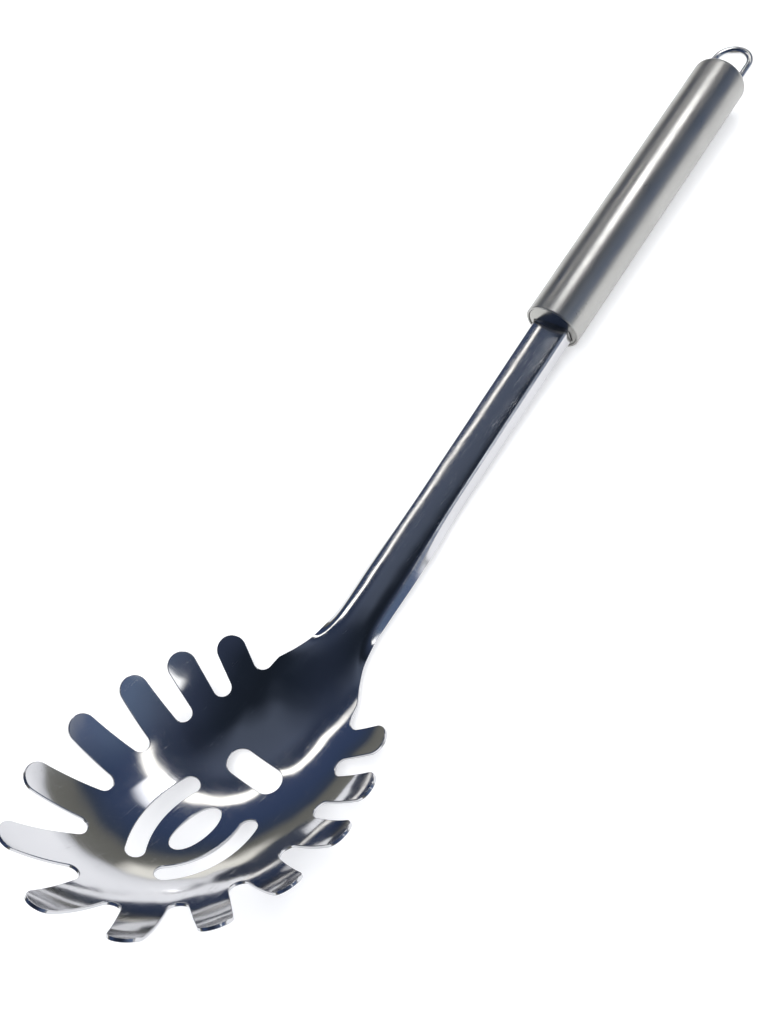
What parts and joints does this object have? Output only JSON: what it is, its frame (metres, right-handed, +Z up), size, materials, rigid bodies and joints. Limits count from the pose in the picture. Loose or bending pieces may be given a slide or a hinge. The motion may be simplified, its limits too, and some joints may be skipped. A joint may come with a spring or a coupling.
{
  "type": "pasta server",
  "caption": "Stainless steel pasta server: shallow slotted bowl ringed with round-ended tines, channel shank, round tube handle and a wire hanging loop.",
  "frame": {"origin": "centre of the footprint on the table, as the tool lies at rest with its bowl open upwards", "axes": "+X along the handle towards the hanging loop, +Z up, the tool's mirror plane at Y = 0"},
  "size_m": [0.331, 0.0806, 0.0533],
  "materials": {
    "polished_steel": "stainless steel polished to a near mirror, with fine polishing lines and light scratches",
    "brushed_steel": "stainless steel brushed across the handle, satin"
  },
  "bodies": {
    "root": {"server_head": "polished_steel", "handle_tube": "brushed_steel", "front_end_cap": "polished_steel", "rear_end_cap": "brushed_steel", "hanging_loop": "polished_steel"}
  },
  "joints": []
}
